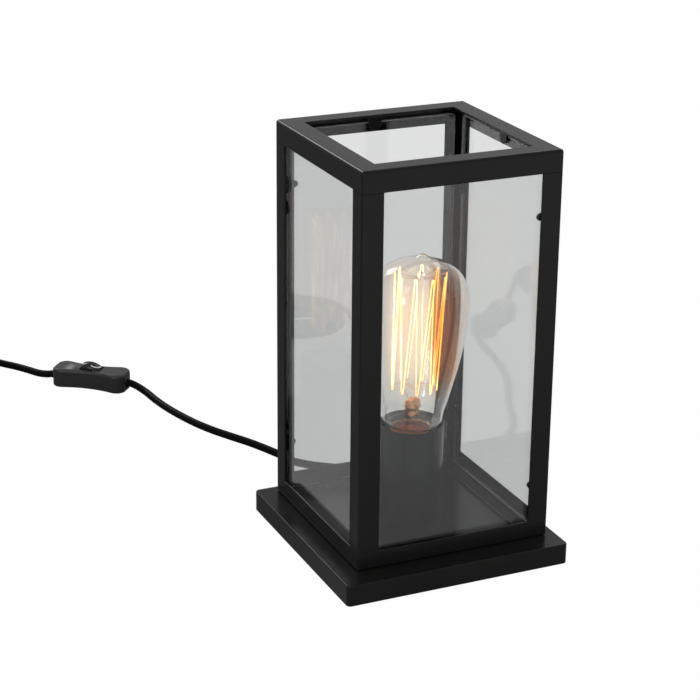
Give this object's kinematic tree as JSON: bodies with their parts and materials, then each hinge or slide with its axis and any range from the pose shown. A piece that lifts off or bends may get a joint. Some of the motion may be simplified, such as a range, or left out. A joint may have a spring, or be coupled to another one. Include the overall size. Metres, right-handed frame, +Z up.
{
  "type": "lantern table lamp",
  "caption": "Square black metal lantern table lamp with clear glass sides, an open top, a large filament bulb and a corded in-line rocker switch.",
  "frame": {"origin": "on the floor, at the middle of the base", "axes": "+Z up, the wide face at the front of the picture looks along -Y, the cord leaves along +Y"},
  "size_m": [0.3468, 0.521, 0.271],
  "materials": {
    "black_paint": "matt black powder coat, fine grain, slightly brighter along the edges",
    "cover_steel": "matt black paint",
    "rubber": "matt black rubber",
    "plated_steel": "zinc plated",
    "moulding": "satin black moulding",
    "rocker_gloss": "glossy black moulding with a light mark for on and off",
    "cord_sheath": "smooth black round sheath",
    "core_insulation": "smooth insulation, brown and blue",
    "pane_glass": "clear polished float glass",
    "holder_resin": "satin black thermoset",
    "brass": "bright, lightly brushed",
    "cement": "rough orange-brown basing cement",
    "cap_glass": "black vitrite",
    "nickel": "bright nickel",
    "bulb_glass": "clear blown glass with a faint amber tint",
    "stem_glass": "clear glass, wrinkled at the pinch",
    "filament": "glowing coiled wire"
  },
  "bodies": {
    "lamp": {"base_tray": "black_paint", "bottom_cover": "cover_steel", "foot_pads": "rubber", "cover_screws": "plated_steel", "frame_screws": "plated_steel", "cord_gland": "moulding", "cord_inlet": "cord_sheath", "cord_clamp": "moulding", "clamp_screws": "plated_steel", "core_wires": "core_insulation", "post_front_left": "black_paint", "post_front_right": "black_paint", "post_back_right": "black_paint", "post_back_left": "black_paint", "top_rail_front": "black_paint", "top_rail_right": "black_paint", "top_rail_back": "black_paint", "top_rail_left": "black_paint", "low_rail_front": "black_paint", "low_rail_right": "black_paint", "low_rail_back": "black_paint", "low_rail_left": "black_paint", "glass_front": "pane_glass", "glass_right": "pane_glass", "glass_back": "pane_glass", "glass_left": "pane_glass", "clips_front": "black_paint", "clips_right": "black_paint", "clips_back": "black_paint", "clips_left": "black_paint", "holder_sleeve": "black_paint", "threaded_rod": "plated_steel", "rod_nuts": "plated_steel", "holder_body": "holder_resin", "thread_shell": "brass", "centre_contact": "brass", "terminal_screws": "brass", "cord_lamp": "cord_sheath", "switch_base": "moulding", "switch_cover": "moulding", "rocker_pin": "plated_steel", "switch_contacts": "brass", "switch_screws": "plated_steel", "cord_supply": "cord_sheath", "cord_coil": "cord_sheath", "cord_tie": "moulding", "cord_tail": "cord_sheath", "plug_body": "moulding", "plug_pins": "nickel"},
    "rocker": {"switch_rocker": "rocker_gloss"},
    "bulb_lift": {"cap_contact": "nickel"},
    "bulb": {"bulb_cap": "brass", "cap_cement": "cement", "cap_insulator": "cap_glass", "bulb_glass": "bulb_glass", "bulb_stem": "stem_glass", "lead_wires": "nickel", "filament_hooks": "nickel", "filament": "filament"}
  },
  "joints": [
    {"name": "rocker_tilt", "type": "hinge", "parent": "lamp", "child": "rocker", "pos_m": [-0.1105, 0.337, 0.0118], "axis": [-0.6494, -0.7604, 0], "range_deg": [0, 22]},
    {"name": "bulb_rise", "type": "slide", "parent": "lamp", "child": "bulb_lift", "axis": [0, 0, 1], "range_m": [0, 0.0128]},
    {"name": "bulb_turn", "type": "hinge", "parent": "bulb_lift", "child": "bulb", "pos_m": [0.0035, 0.0055, 0.0763], "axis": [0, 0, 1], "range_deg": [0, 1260]}
  ],
  "couplings": [
    {"joint": "bulb_rise", "follows": "bulb_turn", "m_per_rad": 0.00057757}
  ]
}
